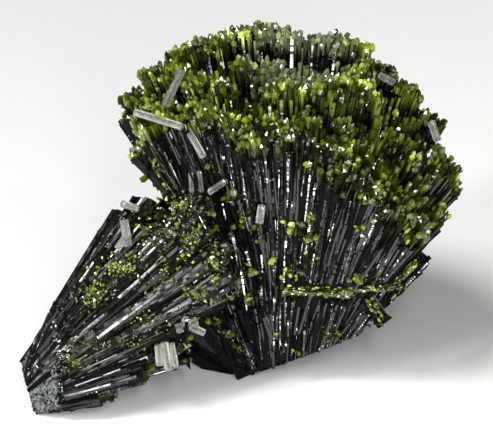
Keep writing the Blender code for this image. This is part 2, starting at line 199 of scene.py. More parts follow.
# Cuts through the crystals, each as a point and the normal of the side that is gone.
BUTT_POINT = Vector((-42.6, -4.1, 17.0))
BUTT_FACE_NORMAL = Vector((-0.6, -0.065, 0.797))
BUTT_BACK_NORMAL = Vector((-0.9, -0.27, -0.34))
FLOOR_GAP = 0.25
CUTS = (
    (
        FROM_PART @ Vector((0.0, 0.0, FLOOR_GAP * METRE)),
        (FROM_PART.to_3x3() @ Vector((0.0, 0.0, -1.0))).normalized(),
    ),
    (Vector((-8.2, 1.0, 0.0)), Vector((0.358, -0.934, 0.0))),
    (BUTT_POINT, BUTT_FACE_NORMAL.normalized()),
    (BUTT_POINT, BUTT_BACK_NORMAL.normalized()),
)

# A needle is two or three pixels of the photograph wide at most, a lump six to nine. Sizes are in mm.
NEEDLE_WIDTH = (0.3, 0.7)
LATH_WIDTH = (0.4, 0.95)
BRIGHT_NEEDLE_WIDTH = (0.2, 0.42)
BRIGHT_LATH_WIDTH = (0.25, 0.6)
LUMP_WIDTH = (0.95, 1.5)
LUMP_LENGTH = (1.1, 2.0)
LEAST_LENGTH = 1.0
# Thickness as a share of the width.
NEEDLE_FLAT = 0.8
LATH_FLAT = 0.4
LUMP_FLAT = (0.7, 1.0)
BRIGHT_FLAT = (0.36, 0.54)
# How uneven the outline of every crystal is, in waves of two and of three to a turn.
TWO_FOLD = 0.16
THREE_FOLD = 0.08
# How far a lath's broad side, and a bright crystal's, may be turned from the front.
LATH_TURN = math.radians(30.0)
BRIGHT_TURN = 0.05

# Rows and columns of needles, more of them than either fan fills.
FAN_ROWS = range(-40, 46)
FAN_COLUMNS = range(-70, 95)
ROW_SHARE = math.sqrt(0.75)
# How far apart needle tips are in mm, and how far one strays from its place as a share of that.
TIP_PITCH = 1.0
TIP_JITTER = 0.4
# By how many degrees the border between two sheaves wavers.
SHEAF_JITTER = 0.9
# A needle is at an open edge if the fan ends this many degrees beside it, or reaches less far by this in mm.
OPEN_ANGLE = 2.6
OPEN_DROP = 3.0
# The solid's top is looked for at the needle and this many degrees beside it, and within this many mm of the
# sheaf's reach.
TIP_BESIDE = 1.2
TIP_UNDER = 6.0
# How far tips stand above that top in mm, and the waves in it.
TIP_RISE = (-0.2, 1.2)
WAVE_HEIGHT = 0.7
WAVE_SCALE = 16.0

# The refractive index, and how strongly each skin mirrors light: clean needles, lumps, the brightest needles
# and etched ones.
EPIDOTE_IOR = 1.74
NEEDLE_SHINE = 0.3
LUMP_SHINE = 0.6
MIRROR_SHINE = 0.5
DULL_SHINE = 0.04
# What share of the needles and of the lumps is etched.
DULL_SHARE = 0.62
DULL_LUMPS = 0.2
# How green a crystal is: 0 for a needle, from here up for a lump, and this for a lath without growth steps.
LUMP_GREEN = 0.9
SMOOTH = -1.0
# Growth steps across a needle: their length in mm, how uneven they are, how far apart they start on different
# crystals, and the height in metres that a steep one gains over its length.
STEP_LENGTH = 5.0
STEP_UNEVEN = 1.4
STEP_SHIFT = 61.0
STEP_HEIGHT = 0.003

# Lumps grow where the clumping is above the first of these. They go down the needle by the next in mm, by
# the third for each unit of clumping and by up to the last at an open edge.
BARE = -0.3
LUMPED_LEAST = 1.0
LUMPED_MORE = 3.0
LUMPED_EDGE = 1.6
# Fine and broad clumps, by their frequency per mm. They thin out from this far to the right, where the dark
# needles that show instead are painted shade on the side away from the light.
CLUMP_FINE = 0.42
CLUMP_BROAD = 0.15
CLUMP_BROAD_SHARE = 0.5
THIN_FROM = 6.0
THINNER = 0.018
HOLLOW_FRONT = 6.0
# The lumps further out than this are one piece, and those behind it another.
FRONT_FROM = 8.0
# Needles of the crown: how much broader than others, what share of those at an open edge runs down to the
# root, how far up the others start, and how far in mm they end under their top lump.
CROWN_BROADER = 1.1
EDGE_WHOLE = 0.6
CROWN_START = (0.4, 0.7)
UNDER_LUMP = 0.8
# Where it is bare, a needle ends this much lower in mm, and has a broader one beside it.
BARE_LOWER = (0.6, 2.0)
BARE_BROADER = 1.5
BARE_BESIDE = 0.5
# Needles of the low fans are broader too, and their lumps go down this far in mm.
LOW_BROADER = 1.2
LOW_LUMPED = 2.5
# Laths of the side fan start this far up, and few have lumps, which go down this far in mm.
LATH_START = 0.6
LATH_LUMPED_SHARE = 0.12
LATH_LUMPED = 1.5
# How green needles are: of the crown, where it is bare, of the low fans and of the side fan.
CROWN_GREEN = 0.8
BARE_GREEN = 0.5
LOW_GREEN = 0.3
LATH_GREEN = 0.1
# Lumps stand this far beside their needle's axis and this far below each other, in mm, and tilt this much.
LUMP_ASIDE = (0.15, 0.6)
LUMP_STEP = (0.8, 1.4)
LUMP_TILT = 0.3

# How far a needle, one of the crown, a lath, the foot of each and a lump may stand out of the solid, in mm.
NEEDLE_PROUD = 0.7
CROWN_PROUD = 1.5
LATH_PROUD = 0.3
FOOT_PROUD = 0.1
LUMP_PROUD = 2.1
# How far apart the points are at which a needle is tested for that, in mm.
NEEDLE_TEST = 1.2
# A point lies in the solid if the first surface that it meets in this direction faces away from it.
OUTWARD = Vector((0.31, 0.52, 0.79)).normalized()
# Room in mm round the quartz and in front of it, where nothing grows, and how far a point may lie past a cut
# in mm, and past the solids' box as a share of its size.
QUARTZ_ROOM = 0.8
QUARTZ_VIEW_ROOM = 7.0
CUT_SLACK = 0.1
BOX_SLACK = 0.018

# How far the dark body is drawn in from the solid, in mm: in general, at the broken butt, and at the crown.
DRAWN_IN = 0.45
BUTT_DRAWN_IN = 0.1
CROWN_DRAWN_IN = 3.0
# The crown is this far from the main fan's foot, and not both left of and lower than these.
CROWN_FROM = 40.0
CROWN_LEFT = -30.0
CROWN_LOW = 38.0
# How far inside the butt's cuts a corner, and a face, still belongs to the butt.
BUTT_CORNER = -0.05
BUTT_FACE = -0.4
# Corners this close to the floor, in metres, stay on it, and those this close to each other are one.
ON_FLOOR = 1e-5
MERGED = 1e-7

# The side fan's surface: left of the first, within this reach and further out than this, or left of and lower
# than the last two.
SIDE_RIGHT = -13.0
SIDE_REACH = 57.0
SIDE_OUT = 8.0
SIDE_LEFT = -23.5
SIDE_TOP = 35.5

# Needles along open sides: how many are tried, the least face that takes them in square mm, and how often
# faces that look to the back are drawn against those that look to the front.
OPEN_COUNT = 19000
OPEN_AREA = 0.02
OPEN_BACK = 0.3
# Half their length, how far off the surface they lie and how far under it their foot, in mm, and how much
# they stray.
OPEN_HALF_LENGTH = (3.0, 10.0)
OPEN_LIFT = (-0.25, 0.2)
OPEN_FOOT = 0.15
OPEN_STRAY = 0.025
# They end this far under the tips, need this much room up to there and this much clear space before them, in
# mm, and lie only where the surface is no steeper to them than this.
OPEN_UNDER_TIP = 2.5
OPEN_ROOM = 0.5
OPEN_CLEAR = 3.0
OPEN_STEEPEST = 0.5
# What share of the laths has no growth steps.
SMOOTH_SHARE = 0.4

# Crystals that catch the light: half their length in mm, how much they stray, how far off the surface they
# lie in mm, and what share of their length has to show from the front.
BRIGHT_HALF_LENGTH = (0.8, 4.5)
BRIGHT_STRAY = 0.03
BRIGHT_LIFT = 0.25
BRIGHT_SHOWN = 0.8

# Scattered lumps: how they thin out from the middle of their patch, their width as a share of its size, their
# height as a share of that, how they tilt, and where they lean, in shares of the surface's own direction.
SCATTER_SPREAD = 0.7
SCATTER_WIDTH = (0.5, 1.25)
SCATTER_TALL = (0.9, 1.8)
SCATTER_TILT = 0.4
SCATTER_LEAN = Vector((0.0, 0.5, 0.3))
CLUMP_LIFT = 0.15
CLUMP_GREEN = 0.96

# Sugary grains on the butt: how many tries, over what half width, and their size in mm.
GRAIN_TRIES = 1600
GRAIN_SPAN = 9.0
GRAIN_SIZE = (0.3, 0.65)
GRAIN_GREENS = (0.0, 0.0, 0.0, 0.9)

# A stray crystal is a bundle of this many thin ones around a middle one: how far out they lie and how wide
# they are, as shares of the whole, how many lumps each mm has, and how much room the whole keeps.
BLADE_CRYSTALS = 7
BLADE_RING = 0.32
BLADE_WIDTH = (0.45, 0.6)
BLADE_LUMPS = 5
BLADE_GUIDE = 1.3

# Rays from the front start this far out and run inwards.
EYE_OUT = 80.0
INWARD = Vector((0.0, 0.0, -1.0))
SEED = 8


def linear(code):
    """A colour written as sRGB hex, as linear light."""
    parts = [int(code[i : i + 2], 16) / 255 for i in (1, 3, 5)]
    return tuple(c / 12.92 if c <= 0.04045 else ((c + 0.055) / 1.055) ** 2.4 for c in parts) + (1.0,)


def lean(right, front):
    """The direction that leans by these angles, in degrees, from straight up the main fan."""
    across, out = math.radians(right), math.radians(front)
    return Vector((math.sin(across) * math.cos(out), math.cos(across) * math.cos(out), math.sin(out)))


def reach_at(sheaves, right, front):
    """The reach, less towards its edge, and rise of the nearest sheaf, and the angle from its middle."""
    def apart(sheaf):
        return math.hypot((right - sheaf[0]) * math.cos(math.radians(front)), front - sheaf[1])

    nearest = min(sheaves, key=apart)
    away = apart(nearest)
    return nearest[2] * (1.0 - EDGE_FALL * (away / EDGE_ANGLE) ** 2), nearest[3], away


def main_root(right, front, reach, rise):
    out = min(FOOT_OUT_MOST, (front - FOOT_FRONT) * FOOT_DEPTH_PER_DEGREE)
    level = (-SEAT[2] - out * math.sin(math.radians(LEAN))) / math.cos(math.radians(LEAN))
    across = (lean(right, front) * reach).x * FOOT_SHARE
    return Vector((across, level - FOOT_BELOW_CUT + rise, out))


def side_root(right, front, reach, rise):
    depth = Vector((0.0, 0.0, front * SIDE_DEPTH_PER_DEGREE))
    return SIDE_APEX + lean(right, front) * (SIDE_START + rise) + depth


def top_of(apex, right, front, reach):
    """How far the solid reaches from the apex this way, or 0 where it falls well short of its fan."""
    way = lean(right, front)
    spot = solid_tree.ray_cast(apex + way * (reach + TIP_UNDER), -way, 2.0 * TIP_UNDER)[0]
    return (spot - apex).length if spot else 0.0


def fan_tips(apex, sheaves, spread, root_of, rng):
    """Root, tip and whether it stands at the fan's open edge, for each needle of a fan."""
    pitch = math.degrees(TIP_PITCH / sheaves[0][2])
    for row in FAN_ROWS:
        front = row * pitch * ROW_SHARE
        for column in FAN_COLUMNS:
            right = (column + row / 2) * pitch / math.cos(math.radians(front))
            if not FAN_TURN[0] < right < FAN_TURN[1]:
                continue
            right += rng.uniform(-TIP_JITTER, TIP_JITTER) * pitch
            front_here = front + rng.uniform(-TIP_JITTER, TIP_JITTER) * pitch
            strayed = right + rng.gauss(0.0, SHEAF_JITTER)
            reach, rise, away = reach_at(sheaves, strayed, front_here + rng.gauss(0.0, SHEAF_JITTER))
            if away > spread:
                continue
            edge = False
            for a, b in ((0, OPEN_ANGLE), (OPEN_ANGLE, 0), (-OPEN_ANGLE, 0), (0, -OPEN_ANGLE)):
                reach_there, _, away_there = reach_at(sheaves, right + a, front_here + b)
                edge = edge or away_there > spread or reach_there < reach - OPEN_DROP
            tops = [
                top_of(apex, right + a, front_here + b, reach)
                for a, b in ((0, 0), (TIP_BESIDE, 0), (-TIP_BESIDE, 0), (0, TIP_BESIDE), (0, -TIP_BESIDE))
            ]
            if tops[0] == 0.0 and tops.count(0.0) > 2:
                continue
            way = lean(right, front_here)
            reach = max(tops) + rng.uniform(*TIP_RISE) + WAVE_HEIGHT * noise.noise(way * WAVE_SCALE)
            yield root_of(right, front_here, reach, rise), apex + way * reach, edge


def new_form(bm, name, seed):
    """Ends a unit form: a little uneven all round, and with its outline and height as UV map."""
    layer = bm.loops.layers.uv.new("UVMap")
    for vert in bm.verts:
        angle = math.atan2(vert.co.y, vert.co.x)
        swell = 1.0 + TWO_FOLD * math.sin(2 * angle + seed) + THREE_FOLD * math.sin(3 * angle + 2 * seed)
        vert.co.x *= swell
        vert.co.y *= swell
    for face in bm.faces:
        for loop in face.loops:
            angle = math.atan2(loop.vert.co.y, loop.vert.co.x)
            loop[layer].uv = (angle / math.tau + 0.5, loop.vert.co.z)
    mesh = bpy.data.meshes.new(name)
    bm.to_mesh(mesh)
    bm.free()
    return mesh


def crystal_form(name, sides, foot, seed):
    """A blunt crystal of length 1 along Z and half width 1 at its tip, with flat sides."""
    bm = bmesh.new()
    bmesh.ops.create_cone(
        bm, cap_ends=True, cap_tris=False, segments=sides, radius1=foot, radius2=1.0, depth=1.0
    )
    bmesh.ops.translate(bm, verts=bm.verts, vec=(0.0, 0.0, 0.5))
    return new_form(bm, name, seed)


def lump_form(name, seed):
    """A lump of small crystal faces, of height 1 and half width 1."""
    rng = random.Random(seed)
    bm = bmesh.new()
    bmesh.ops.create_icosphere(bm, subdivisions=1, radius=1.0)
    for vert in bm.verts:
        vert.co *= rng.uniform(0.82, 1.1)
        vert.co.z = vert.co.z * 0.5 + 0.5
    return new_form(bm, name, seed)


NEEDLE_FORMS = [crystal_form(f"needle_form_{n}", 4, 0.7, n) for n in range(5)]
LATH_FORMS = [crystal_form(f"lath_form_{n}", 4, 0.8, n + 20) for n in range(4)]
LUMP_FORMS = [lump_form(f"lump_form_{n}", n + 40) for n in range(8)]


def place_of(start, end, width, depth, spin):
    """The matrix that stands a unit crystal from start to end, in mm in the leaning frame."""
    along = end - start
    turn = along.to_track_quat("Z", "Y").to_matrix().to_4x4() @ Matrix.Rotation(spin, 4, "Z")
    size = Matrix.Diagonal((width / 2, depth / 2, along.length, 1.0))
    return TO_PART @ Matrix.Translation(start) @ turn @ size


def grow_piece(name, crystals, glassy, dull):
    """One piece from (form, place, length, below, green, shade) for each crystal.

    Below is how far its tip lies under its needle's own tip, in mm. Green runs from 0, a dark needle, to 1, a
    lump, and is SMOOTH for a lath without growth steps. Crystals of a low shade have the dull skin.
    """
    bm = bmesh.new()
    bm.loops.layers.uv.new("UVMap")
    tips, greens, shades, skins = [], [], [], []
    heights = {}
    for form, place, length, below, green, shade in crystals:
        if form.name not in heights:
            heights[form.name] = np.array([vert.co.z for vert in form.vertices])
        crystal = form.copy()
        crystal.transform(place)
        bm.from_mesh(crystal)
        bpy.data.meshes.remove(crystal)
        z = heights[form.name]
        tips.append(below + (1.0 - z) * length)
        greens.append(np.full(len(z), green))
        shades.append(np.full(len(z), shade))
        dull_share = DULL_SHARE if green < LUMP_GREEN else DULL_LUMPS
        skins.append(np.full(len(form.polygons), 1 if shade < dull_share else 0))
    mesh = bpy.data.meshes.new(name)
    bm.to_mesh(mesh)
    bm.free()
    for label, values in (("below_tip", tips), ("green", greens), ("shade", shades)):
        attribute = mesh.attributes.new(label, "FLOAT", "POINT")
        attribute.data.foreach_set("value", np.concatenate(values).astype(np.float32))
    finish_piece(name, mesh, glassy)
    mesh.materials.append(dull)
    mesh.polygons.foreach_set("material_index", np.concatenate(skins).astype(np.int32))


def finish_piece(name, mesh, material):
    piece = bpy.data.objects.new(name, mesh)
    bpy.context.scene.collection.objects.link(piece)
    mesh.materials.append(material)
    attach(piece, "root")
    return piece


def within(point, proud):
    """Whether a point lies in the solid, or no further out of it than this, and on the kept side of the cuts.

    Points right beside the quartz, and in front of the quartz and the strays, don't count either.
    """
    if any((point - spot).dot(normal) > CUT_SLACK for spot, normal in CUTS):
        return False
    slack = [(high - low) * BOX_SLACK for low, high in zip(*CAD_BOX)]
    if any(not low - more < x < high + more for x, low, high, more in zip(TO_PART @ point, *CAD_BOX, slack)):
        return False
    if solid_tree.find_nearest(point)[3] > proud:
        facing = solid_tree.ray_cast(point, OUTWARD)[1]
        if facing is None or facing.dot(OUTWARD) < 0.0:
            return False
    if kept_free.find_nearest(point, QUARTZ_ROOM)[0] is not None:
        return False
    return kept_in_view.ray_cast(point, INWARD, QUARTZ_VIEW_ROOM)[0] is None


def kept_start(start, end):
    """The start of a crystal, moved along it as far as the cuts."""
    for spot, normal in CUTS:
        low, high = (start - spot).dot(normal), (end - spot).dot(normal)
        if low > 0.0 > high:
            start = start.lerp(end, low / (low - high))
    return start


def needle(start, end, width, flat, forms, green, rng, turned=math.pi, proud=NEEDLE_PROUD):
    """One crystal from start to end, as thick as this share of its width, with its foot in the solid.

    It is cut short where it would stand further than proud out of the solid. Its broad side may be turned
    this far from the front.
    """
    start = kept_start(start, end)
    steps = max(2, math.ceil((end - start).length / NEEDLE_TEST))
    kept = 0
    while kept <= steps and within(end.lerp(start, kept / steps), proud):
        kept += 1
    while kept > 0 and not within(end.lerp(start, (kept - 1) / steps), FOOT_PROUD):
        kept -= 1
    start = end.lerp(start, max(0, kept - 1) / steps)
    if (end - start).length < LEAST_LENGTH:
        return []
    place = place_of(start, end, width, width * flat, rng.uniform(-turned, turned))
    return [(rng.choice(forms), place, (end - start).length, 0.0, green, rng.random())]


def lump(head, way, wide, tall, below, green, rng):
    """One lump with its top at head, or none where it would stand off the solid."""
    foot = head - way * tall
    if not (within(head, LUMP_PROUD) and within(foot, LUMP_PROUD)):
        return []
    place = place_of(foot, head, wide, wide * rng.uniform(*LUMP_FLAT), rng.uniform(0.0, math.pi))
    return [(rng.choice(LUMP_FORMS), place, tall, below, green, rng.random())]


def lumps_along(root, tip, depth, rng):
    """Green lumps at the tip of a needle and down from it, as far as this depth in mm."""
    axis = (tip - root).normalized()
    side = axis.orthogonal().normalized()
    other = axis.cross(side)
    found = []
    below = 0.0
    while below <= depth:
        turn = rng.uniform(0.0, math.tau)
        aside = 0.0 if below == 0.0 else rng.uniform(*LUMP_ASIDE)
        head = tip - axis * below + (side * math.cos(turn) + other * math.sin(turn)) * aside
        tilt = side * rng.uniform(-LUMP_TILT, LUMP_TILT)
        way = (axis + tilt + other * rng.uniform(-LUMP_TILT, LUMP_TILT)).normalized()
        found += lump(head, way, rng.uniform(*LUMP_WIDTH), rng.uniform(*LUMP_LENGTH), below, 1.0, rng)
        below += rng.uniform(*LUMP_STEP)
    return found


def add_node(tree, kind, settings=None, links=None):
    """A shader node with its settings, and with its inputs linked from these outputs."""
    node = tree.nodes.new(kind)
    for name, value in (settings or {}).items():
        if isinstance(name, str) and hasattr(node, name):
            setattr(node, name, value)
        else:
            node.inputs[name].default_value = value
    for name, source in (links or {}).items():
        tree.links.new(source, node.inputs[name])
    return node


def new_material(name):
    made = bpy.data.materials.new(name)
    made.use_nodes = True
    return made, made.node_tree, made.node_tree.nodes["Principled BSDF"]


def add_ramp(tree, factor, stops):
    """A colour ramp over (position, hex colour) stops."""
    ramp = add_node(tree, "ShaderNodeValToRGB", links={"Fac": factor})
    elements = ramp.color_ramp.elements
    elements[0].position, elements[0].color = stops[0][0], linear(stops[0][1])
    elements[1].position, elements[1].color = stops[-1][0], linear(stops[-1][1])
    for position, code in stops[1:-1]:
        elements.new(position).color = linear(code)
    return ramp.outputs["Color"]


def blend(tree, factor, first, second):
    mix = add_node(tree, "ShaderNodeMix", {"data_type": "RGBA"}, {"Factor": factor})
    for number, colour in ((6, first), (7, second)):
        if isinstance(colour, str):
            mix.inputs[number].default_value = linear(colour)
        else:
            tree.links.new(colour, mix.inputs[number])
    return mix.outputs[2]


def compute(tree, operation, *terms):
    """The result of a maths node over these numbers and outputs."""
    node = add_node(tree, "ShaderNodeMath", {"operation": operation})
    for number, term in enumerate(terms):
        if isinstance(term, float):
            node.inputs[number].default_value = term
        else:
            tree.links.new(term, node.inputs[number])
    return node.outputs[0]


def remap(tree, value, span, result, curve="LINEAR"):
    """A value that goes from the first to the second of result while this one crosses the span."""
    settings = {
        "interpolation_type": curve,
        "From Min": span[0],
        "From Max": span[1],
        "To Min": result[0],
        "To Max": result[1],
    }
    return add_node(tree, "ShaderNodeMapRange", settings, {"Value": value}).outputs["Result"]


def noise_over(tree, place, scale, detail):
    settings = {"Scale": scale, "Detail": detail}
    return add_node(tree, "ShaderNodeTexNoise", settings, {"Vector": place}).outputs["Fac"]


def epidote_material(name, shine):
    """Epidote: glassy prisms with fine growth steps, so dark a green that only tips and lumps show it.

    The eye sees near-black needles with hard broken glints, and olive to yellow-green lumps.
    """
    made, tree, shader = new_material(name)
    below, green, shade = (
        add_node(tree, "ShaderNodeAttribute", {"attribute_name": label}).outputs["Fac"]
        for label in ("below_tip", "green", "shade")
    )
    place = add_node(tree, "ShaderNodeTexCoord").outputs["Object"]
    drift = noise_over(tree, place, 160.0, 2.0)
    tone = compute(tree, "ADD", compute(tree, "MULTIPLY_ADD", shade, 0.45, -0.2), drift)
    stops = ((0.2, "#0d1208"), (0.4, "#222b08"), (0.58, "#42510d"), (0.74, "#6d801a"), (0.96, "#bcc65a"))
    fresh = add_ramp(tree, tone, stops)
    # The green is fullest at the tips and fades down the needle, but a lump keeps some of it all over.
    near_tip = remap(tree, below, (0.6, 3.4), (1.0, 0.0), "SMOOTHSTEP")
    on_lumps = remap(tree, green, (LUMP_GREEN, 1.0), (0.0, 0.62))
    full = compute(tree, "MAXIMUM", compute(tree, "MULTIPLY", near_tip, green), on_lumps)
    # One patch of the crown has a grey frosted skin.
    settings = {"operation": "DISTANCE", 1: tuple(TO_PART @ Vector(FROSTED))}
    off = add_node(tree, "ShaderNodeVectorMath", settings, {0: place}).outputs["Value"]
    fresh = blend(tree, remap(tree, off, (0.005, 0.012), (0.6, 0.0)), fresh, "#6f7a5c")
    dark = blend(tree, shade, "#030403", "#0e130b")
    tree.links.new(blend(tree, full, dark, fresh), shader.inputs["Base Color"])
    # Growth steps tilt the faces of a needle in turn, each crystal's from another start. Lumps are smooth.
    along = compute(tree, "MULTIPLY_ADD", shade, STEP_SHIFT, below)
    settings = {"noise_dimensions": "1D", "Scale": 0.5, "Detail": 2.0}
    dash = add_node(tree, "ShaderNodeTexNoise", settings, {"W": along}).outputs["Fac"]
    uneven = compute(tree, "MULTIPLY_ADD", dash, STEP_UNEVEN, along)
    saw = compute(tree, "FRACT", compute(tree, "MULTIPLY", uneven, 1.0 / STEP_LENGTH))
    stepped = remap(tree, compute(tree, "ABSOLUTE", green), (LUMP_GREEN, 0.98), (1.0, 0.0))
    height = compute(tree, "MULTIPLY", saw, compute(tree, "MULTIPLY", stepped, shade))
    bump = add_node(tree, "ShaderNodeBump", {"Strength": 1.0, "Distance": STEP_HEIGHT}, {"Height": height})
    tree.links.new(bump.outputs["Normal"], shader.inputs["Normal"])
    tree.links.new(remap(tree, dash, (0.35, 0.65), (0.06, 0.26)), shader.inputs["Roughness"])
    shader.inputs["IOR"].default_value = EPIDOTE_IOR
    shader.inputs["Specular IOR Level"].default_value = shine
    return made


def grainy_material(name, low, high, scale, shine):
    """Epidote seen between its needles or across a break: dull, with small bright grain faces."""
    made, tree, shader = new_material(name)
    place = add_node(tree, "ShaderNodeTexCoord").outputs["Object"]
    grain = noise_over(tree, place, scale, 4.0)
    tree.links.new(add_ramp(tree, grain, ((0.38, low), (0.68, high))), shader.inputs["Base Color"])
    bump = add_node(tree, "ShaderNodeBump", {"Strength": 0.7, "Distance": 0.0003}, {"Height": grain})
    tree.links.new(bump.outputs["Normal"], shader.inputs["Normal"])
    shader.inputs["Roughness"].default_value = 0.45
    shader.inputs["IOR"].default_value = EPIDOTE_IOR
    shader.inputs["Specular IOR Level"].default_value = shine
    return made


def quartz_material():
    """Frosted quartz: clear inside, with a milky, faintly rough skin that greys what lies behind it."""
    made, tree, shader = new_material("quartz_frosted")
    place = add_node(tree, "ShaderNodeTexCoord").outputs["Object"]
    cloud = noise_over(tree, place, 500.0, 3.0)
    skin = add_ramp(tree, cloud, ((0.3, "#a3aaa0"), (0.55, "#cdd2c8"), (0.75, "#f2f4ee")))
    tree.links.new(skin, shader.inputs["Base Color"])
    bump = add_node(tree, "ShaderNodeBump", {"Strength": 0.3, "Distance": 0.0002}, {"Height": cloud})
    tree.links.new(bump.outputs["Normal"], shader.inputs["Normal"])
    shader.inputs["Roughness"].default_value = 0.12
    shader.inputs["IOR"].default_value = 1.544
    shader.inputs["Transmission Weight"].default_value = 0.85
    return made


def merged_body(node):
    """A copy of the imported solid, its triangles merged, in the leaning frame."""
    bm = bmesh.new()
    bm.from_mesh(node.data)
    bmesh.ops.remove_doubles(bm, verts=bm.verts, dist=MERGED)
    bm.transform(FROM_PART)
    bm.normal_update()
    return bm


def past_butt(spot):
    """How far a point lies outside the side fan's broken butt, in mm."""
    return max((spot - BUTT_POINT).dot(way.normalized()) for way in (BUTT_FACE_NORMAL, BUTT_BACK_NORMAL))


def dark_body(node, material, broken):
    """The body under the needles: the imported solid, drawn in from its own surface, and hardly at its cuts.

    At the crown it is drawn in much further, so that the gaps between the lumps look deep.
    """
    bm = merged_body(node)
    for vert in bm.verts:
        if (TO_PART @ vert.co).z < ON_FLOOR:
            continue
        vert.co -= vert.normal * (BUTT_DRAWN_IN if past_butt(vert.co) > BUTT_CORNER else DRAWN_IN)
        if vert.co.length > CROWN_FROM and (vert.co.x > CROWN_LEFT or vert.co.y > CROWN_LOW):
            vert.co -= vert.co.normalized() * CROWN_DRAWN_IN
    for face in bm.faces:
        face.material_index = 1 if past_butt(face.calc_center_median()) > BUTT_FACE else 0
    bm.transform(TO_PART)
    mesh = bpy.data.meshes.new("epidote_body")
    bm.to_mesh(mesh)
    bm.free()
    piece = finish_piece("epidote_body", mesh, material)
    mesh.materials.append(broken)
    return piece


def on_side_fan(spot):
    near = spot.x < SIDE_RIGHT and (spot - SIDE_APEX).length < SIDE_REACH and spot.z > SIDE_OUT
    return near or (spot.x < SIDE_LEFT and spot.y < SIDE_TOP)


def open_side_needles(bm, tree, rng):
    """Fine needles lying along the open sides of the main fan, and laths along those of the side fan."""
    faces = [face for face in bm.faces if face.calc_area() > OPEN_AREA]
    weights = [face.calc_area() * (OPEN_BACK + max(0.0, face.normal.z)) for face in faces]
    needles, laths = [], []
    for face in rng.choices(faces, weights, k=OPEN_COUNT):
        a, b, c = (vert.co for vert in face.verts)
        s, t = rng.random(), rng.random()
        if s + t > 1.0:
            s, t = 1.0 - s, 1.0 - t
        spot = a + (b - a) * s + (c - a) * t
        side = on_side_fan(spot)
        apex, sheaves, root_of = (
            (SIDE_APEX, SIDE_SHEAVES, side_root) if side else (MAIN_APEX, MAIN_SHEAVES, main_root)
        )
        from_apex = spot - apex
        front = math.degrees(math.asin(from_apex.z / from_apex.length))
        right = math.degrees(math.atan2(from_apex.x, from_apex.y))
        reach, _, _ = reach_at(sheaves, right, front)
        way = (spot - root_of(right, front, reach, 0.0)).normalized()
        facing = way.dot(face.normal)
        room = reach - from_apex.length - OPEN_UNDER_TIP
        if abs(facing) > OPEN_STEEPEST or room < OPEN_ROOM:
            continue
        if tree.ray_cast(spot + face.normal * 0.05, face.normal, OPEN_CLEAR)[0] is not None:
            continue
        way = (way - face.normal * facing).normalized()
        way = (way + face.normal.cross(way) * rng.gauss(0.0, OPEN_STRAY)).normalized()
        half = rng.uniform(*OPEN_HALF_LENGTH)
        lift = face.normal * rng.uniform(*OPEN_LIFT)
        width, flat, forms, turned = (
            (rng.uniform(*LATH_WIDTH), LATH_FLAT, LATH_FORMS, LATH_TURN) if side
            else (rng.uniform(*NEEDLE_WIDTH), NEEDLE_FLAT, NEEDLE_FORMS, math.pi)
        )
        start = spot - way * half + lift - face.normal * OPEN_FOOT
        end = spot + way * min(half, room) + lift
        green = SMOOTH if side and rng.random() < SMOOTH_SHARE else 0.0
        grown = needle(start, end, width, flat, forms, green, rng, turned, LATH_PROUD)
        if side:
            laths += grown
        else:
            needles += grown
    return needles, laths


def bright_crystals(tree, shown, patches, apex, widths, rng):
    """Broad crystals that show on a fan, and narrower ones that catch the light in patches of it."""
    found = []
    shown = list(shown)
    for across, up, wide, high, count in patches:
        for _ in range(count):
            middle = Vector((across + wide * rng.uniform(-1.0, 1.0), up + high * rng.uniform(-1.0, 1.0)))
            way = (middle - apex.xy).normalized()
            way = (way + way.orthogonal() * rng.gauss(0.0, BRIGHT_STRAY)).normalized()
            way *= rng.uniform(*BRIGHT_HALF_LENGTH)
            shown.append((tuple(middle - way), tuple(middle + way), rng.uniform(*widths)))
    for first, last, width in shown:
        ends = []
        for across, up in (first, last):
            spot = tree.ray_cast(Vector((across, up, EYE_OUT)), INWARD)[0]
            if spot:
                ends.append(spot + Vector((0.0, 0.0, BRIGHT_LIFT)))
        if len(ends) < 2 or (ends[1] - ends[0]).xy.length < BRIGHT_SHOWN * (ends[1] - ends[0]).length:
            continue
        depth = width * rng.uniform(*BRIGHT_FLAT)
        place = place_of(ends[0], ends[1], width, depth, rng.uniform(-BRIGHT_TURN, BRIGHT_TURN))
        shade = rng.uniform(DULL_SHARE, 1.0)
        found.append((LATH_FORMS[0], place, (ends[1] - ends[0]).length, 0.0, SMOOTH, shade))
    return found


def scatter(reach, rng):
    """A vector whose three parts are drawn from within this reach."""
    return Vector([rng.uniform(-reach, reach) for _ in range(3)])


def scattered(tree, patches, lift, least, rng):
    """Lumps at least this green over patches of the front, each on the surface that the eye meets there."""
    found = []
    for across, up, wide, high, count, size in patches:
        for _ in range(count):
            turn, out = rng.uniform(0.0, math.tau), abs(rng.gauss(0.0, SCATTER_SPREAD))
            x = across + wide * out * math.cos(turn)
            y = up + high * out * math.sin(turn)
            spot, normal, _, _ = tree.ray_cast(Vector((x, y, EYE_OUT)), INWARD)
            if spot is None:
                continue
            width = size * rng.uniform(*SCATTER_WIDTH)
            way = (normal + SCATTER_LEAN + scatter(SCATTER_TILT, rng)).normalized()
            tall = width * rng.uniform(*SCATTER_TALL)
            green = least + (1.0 - least) * rng.random() ** 3
            found += lump(spot + way * (tall + lift), way, width, tall, 1.0, green, rng)
    return found


